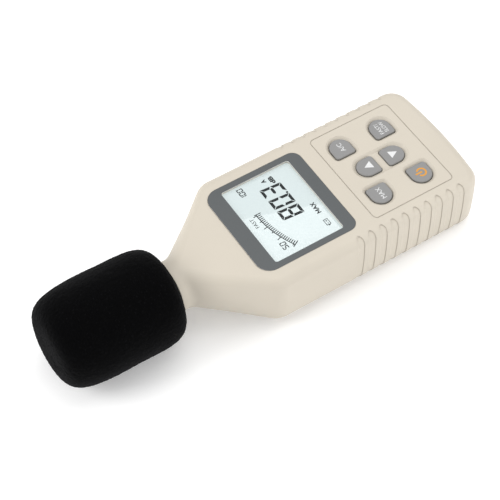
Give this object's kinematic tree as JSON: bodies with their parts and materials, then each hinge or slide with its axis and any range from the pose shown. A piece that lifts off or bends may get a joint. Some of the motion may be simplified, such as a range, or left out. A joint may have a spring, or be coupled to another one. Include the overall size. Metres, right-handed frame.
{
  "type": "sound level meter",
  "caption": "Hand-held sound level meter: flat tapered case with side grips, display window, domed soft keys and a foam windscreen over a round microphone neck.",
  "frame": {"origin": "mouth of the tripod socket in the flat back face", "axes": "+Y along the case towards the microphone, +Z out of the display, +X to the right of someone reading the display"},
  "size_m": [0.069, 0.2108, 0.0472],
  "materials": {
    "case_plastic": "fine satin grain",
    "door_plastic": "fine satin grain",
    "bezel_plastic": "satin",
    "clear_lens": "polished",
    "lcd_glass": "polished",
    "white_plastic": "matt",
    "zebra_rubber": "matt",
    "key_rubber": "matt silicone",
    "mat_silicone": "matt silicone",
    "carbon": "matt",
    "circuit_board": "solder mask",
    "chip_epoxy": "matt",
    "capacitor_can": "satin",
    "trimmer_body": "matt",
    "steel": "zinc plated",
    "brass": "turned",
    "battery_can": "printed sleeve",
    "snap_metal": "plated",
    "snap_plastic": "moulded",
    "wire": "insulation",
    "pad_foam": "open-cell foam",
    "microphone_metal": "satin",
    "seal_rubber": "matt",
    "windscreen_foam": "open-cell foam"
  },
  "bodies": {
    "case": {"front_shell": "case_plastic", "rear_shell": "case_plastic", "display_bezel": "bezel_plastic", "display_lens": "clear_lens", "lcd_cell": "lcd_glass", "lcd_holder": "white_plastic", "zebra_strips": "zebra_rubber", "display_reflector": "white_plastic", "keypad_mat": "mat_silicone", "contact_pills": "carbon", "main_board": "circuit_board", "controller_chip": "chip_epoxy", "amplifier_chips": "chip_epoxy", "capacitors": "capacitor_can", "level_trimmer": "trimmer_body", "board_screws": "steel", "case_screws": "steel", "tripod_insert": "brass", "battery": "battery_can", "battery_terminals": "snap_metal", "battery_snap": "snap_plastic", "battery_leads": "wire", "microphone_barrel": "microphone_metal", "microphone_capsule": "microphone_metal", "microphone_grid": "microphone_metal", "microphone_seal": "seal_rubber", "preamplifier_board": "circuit_board", "microphone_lead": "wire"},
    "max_key": {"max_key": "key_rubber"},
    "weighting_key": {"weighting_key": "key_rubber"},
    "power_key": {"power_key": "key_rubber"},
    "response_key": {"response_key": "key_rubber"},
    "range_up_key": {"range_up_key": "key_rubber"},
    "range_down_key": {"range_down_key": "key_rubber"},
    "windscreen": {"windscreen": "windscreen_foam"},
    "battery_door": {"battery_door": "door_plastic", "battery_pad": "pad_foam"}
  },
  "joints": [
    {"name": "max_press", "type": "slide", "parent": "case", "child": "max_key", "axis": [0, 0, -1], "range_m": [0, 0.0009], "stiffness_N_per_m": 800},
    {"name": "weighting_press", "type": "slide", "parent": "case", "child": "weighting_key", "axis": [0, 0, -1], "range_m": [0, 0.0009], "stiffness_N_per_m": 800},
    {"name": "power_press", "type": "slide", "parent": "case", "child": "power_key", "axis": [0, 0, -1], "range_m": [0, 0.0009], "stiffness_N_per_m": 800},
    {"name": "response_press", "type": "slide", "parent": "case", "child": "response_key", "axis": [0, 0, -1], "range_m": [0, 0.0009], "stiffness_N_per_m": 800},
    {"name": "range_up_press", "type": "slide", "parent": "case", "child": "range_up_key", "axis": [0, 0, -1], "range_m": [0, 0.0009], "stiffness_N_per_m": 800},
    {"name": "range_down_press", "type": "slide", "parent": "case", "child": "range_down_key", "axis": [0, 0, -1], "range_m": [0, 0.0009], "stiffness_N_per_m": 800},
    {"name": "windscreen_pull", "type": "slide", "parent": "case", "child": "windscreen", "axis": [0, 1, 0], "range_m": [0, 0.06]},
    {"name": "battery_door_slide", "type": "slide", "parent": "case", "child": "battery_door", "axis": [0, -1, 0], "range_m": [0, 0.066]}
  ]
}
